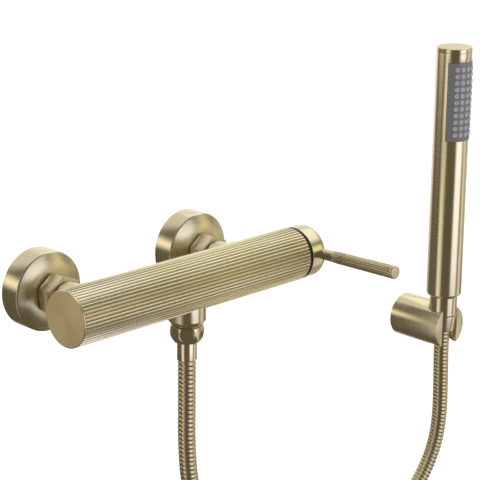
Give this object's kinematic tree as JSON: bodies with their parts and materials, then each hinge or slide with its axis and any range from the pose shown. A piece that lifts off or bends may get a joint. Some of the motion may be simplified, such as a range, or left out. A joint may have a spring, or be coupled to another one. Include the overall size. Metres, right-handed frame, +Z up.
{
  "type": "shower mixer",
  "caption": "Wall-mounted shower mixer in brushed light gold: fluted bar with a pin lever on its end, two round wall roses, a pencil handset in a wall bracket and a ribbed hose.",
  "frame": {"origin": "on the wall plane, midway between the axes of the two wall studs", "axes": "+X along the bar towards the lever and the handset, -Y out of the wall, +Z up"},
  "size_m": [0.4791, 0.181, 0.6006],
  "materials": {
    "brushed_gold": "brushed light gold plating",
    "hose_gold": "satin light gold plating",
    "raw_brass": "turned",
    "steel": "turned",
    "ceramic": "lapped ceramic",
    "white_plastic": "moulded",
    "black_plastic": "moulded",
    "black_rubber": "moulded",
    "spray_grey": "satin moulded",
    "nozzle_silicone": "moulded silicone"
  },
  "bodies": {
    "root": {"fluted_body": "brushed_gold", "end_cap": "brushed_gold", "end_cap_seal": "black_rubber", "wall_union_hot": "raw_brass", "wall_union_cold": "raw_brass", "wall_rose_hot": "brushed_gold", "wall_rose_cold": "brushed_gold", "union_nuts": "brushed_gold", "inlet_washers": "black_rubber", "inlet_tails": "raw_brass", "check_valve_bodies": "white_plastic", "check_spring_hot": "steel", "check_spring_cold": "steel", "cartridge_base": "white_plastic", "cartridge_seals": "black_rubber", "cartridge_housing": "white_plastic", "fixed_disc": "ceramic", "cartridge_nut": "raw_brass", "dome_cover": "black_plastic", "outlet_nipple": "raw_brass", "ball_nut": "brushed_gold", "hose_washer_mixer": "black_rubber", "hose_insert_mixer": "raw_brass", "ferrule": "brushed_gold", "hose_mixer_side": "hose_gold", "hose_coil": "hose_gold", "hose_tie": "black_rubber", "hose_handset_side": "hose_gold", "bracket_body": "brushed_gold", "bracket_disc": "raw_brass", "bracket_grub_screw": "steel"},
    "guide": {"stem_guide": "black_plastic", "pivot_pin": "steel"},
    "handle": {"stem": "steel", "handle_cap": "brushed_gold", "lever": "brushed_gold", "handle_screw": "steel"},
    "disc": {"moving_disc": "ceramic", "disc_carrier": "white_plastic"},
    "poppet_hot": {"check_poppet_hot": "black_plastic"},
    "poppet_cold": {"check_poppet_cold": "black_plastic"},
    "hose_end": {"hose_insert_handset": "raw_brass", "hose_washer_handset": "black_rubber"},
    "handset": {"cone_nut": "brushed_gold", "handset_neck": "brushed_gold", "neck_seal": "black_rubber", "flow_restrictor": "white_plastic", "handset_tube": "brushed_gold", "top_cap": "brushed_gold", "water_tube": "white_plastic", "spray_manifold": "white_plastic", "nozzle_mat": "nozzle_silicone", "spray_plate": "spray_grey"}
  },
  "joints": [
    {"name": "lever_turn", "type": "hinge", "parent": "root", "child": "guide", "pos_m": [0.11, -0.0734, 0.005], "axis": [1, 0, 0], "range_deg": [-50, 50]},
    {"name": "lever_tilt", "type": "hinge", "parent": "guide", "child": "handle", "pos_m": [0.11, -0.0734, 0.005], "axis": [0, 0, 1], "range_deg": [0, 18]},
    {"name": "disc_slide", "type": "slide", "parent": "guide", "child": "disc", "axis": [0, 1, 0], "range_m": [-0.00198, 0]},
    {"name": "check_hot_open", "type": "slide", "parent": "root", "child": "poppet_hot", "axis": [0, -1, 0], "range_m": [0, 0.0025], "stiffness_N_per_m": 100, "springref_m": -0.001, "deforming": ["check_spring_hot"]},
    {"name": "check_cold_open", "type": "slide", "parent": "root", "child": "poppet_cold", "axis": [0, -1, 0], "range_m": [0, 0.0025], "stiffness_N_per_m": 100, "springref_m": -0.001, "deforming": ["check_spring_cold"]},
    {"name": "handset_lift", "type": "slide", "parent": "root", "child": "hose_end", "axis": [0, 0, 1], "range_m": [0, 0.06], "deforming": ["hose_handset_side"]},
    {"name": "handset_spin", "type": "hinge", "parent": "hose_end", "child": "handset", "pos_m": [0.3528, -0.0449, -0.115], "axis": [0, 0, 1], "continuous": true}
  ],
  "couplings": [
    {"joint": "disc_slide", "follows": "lever_tilt", "m_per_rad": -0.0062952}
  ]
}
